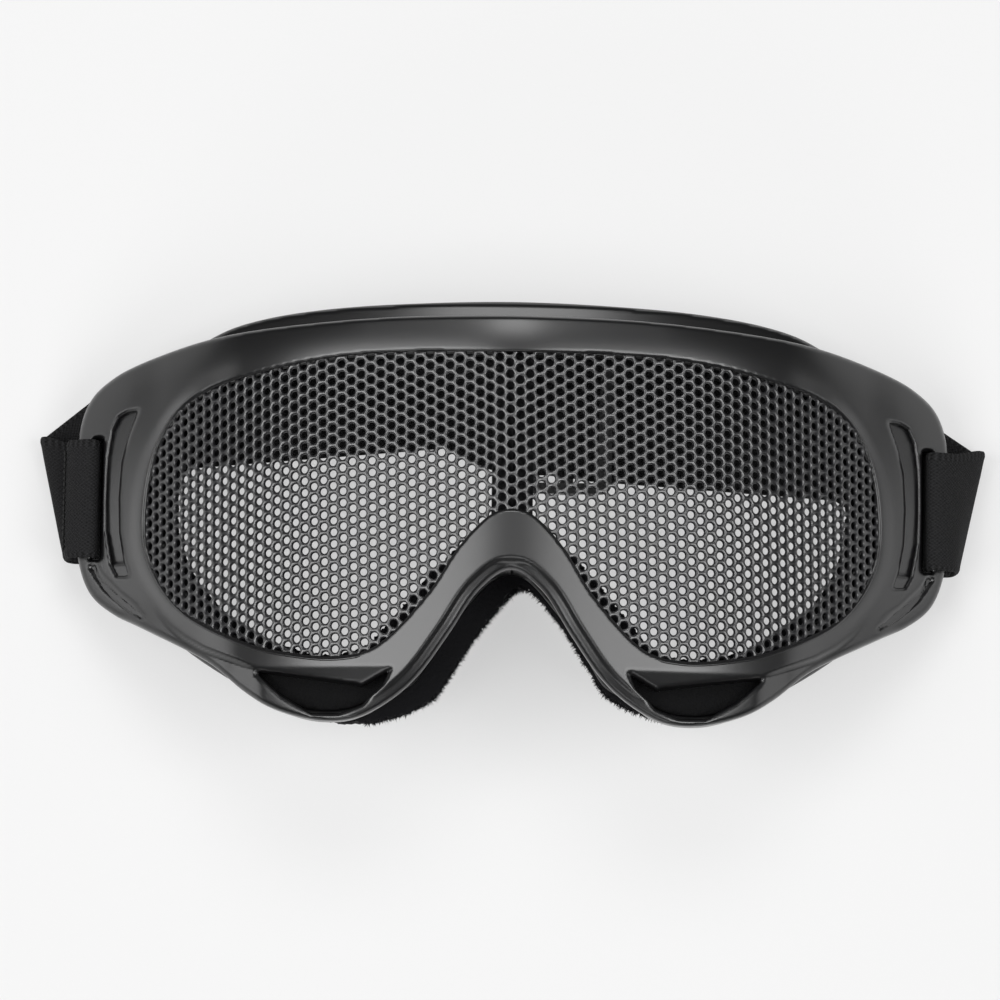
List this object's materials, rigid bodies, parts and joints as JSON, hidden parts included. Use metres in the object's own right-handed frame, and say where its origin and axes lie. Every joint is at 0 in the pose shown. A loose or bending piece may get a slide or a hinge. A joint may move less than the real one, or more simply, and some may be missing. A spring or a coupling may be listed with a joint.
{
  "type": "mesh safety goggles",
  "caption": "Mesh safety goggles with a soft moulded frame, a perforated metal lens, face foam and an elastic strap that lies folded underneath.",
  "frame": {"origin": "middle of the whole object's footprint, on the table it lies on", "axes": "+X across the face to the wearer's left as seen in the picture's right, +Y towards the brow, +Z out of the lens"},
  "size_m": [0.208, 0.0929, 0.0615],
  "materials": {
    "frame_rubber": "soft moulded thermoplastic, satin black",
    "coated_mesh": "black coated perforated steel, low gloss",
    "face_foam": "open-cell foam with a brushed face, matt black",
    "vent_foam": "thin open-cell filter foam, matt black",
    "elastic_webbing": "woven elastic webbing, matt black",
    "thread": "black sewing thread",
    "slider_plastic": "moulded acetal, satin black"
  },
  "bodies": {
    "goggle": {"frame": "frame_rubber", "mesh_lens": "coated_mesh", "face_foam": "face_foam", "brow_vent_foam": "vent_foam", "cheek_vent_foam_left": "vent_foam", "cheek_vent_foam_right": "vent_foam"},
    "strap": {"strap_band": "elastic_webbing", "strap_return": "elastic_webbing", "strap_side_left": "elastic_webbing", "strap_side_right": "elastic_webbing", "bar_tack_left": "thread"},
    "slider": {"slider": "slider_plastic"}
  },
  "joints": [
    {"name": "strap_swing", "type": "hinge", "parent": "goggle", "child": "strap", "pos_m": [0, 0.00365, 0.0128], "axis": [-1, 0, 0], "range_deg": [0, 90], "deforming": ["strap_side_left", "strap_side_right", "bar_tack_left"]},
    {"name": "slider_slide", "type": "slide", "parent": "strap", "child": "slider", "axis": [1, 0, 0], "range_m": [-0.03, 0.03], "deforming": ["strap_band", "strap_return"]}
  ]
}
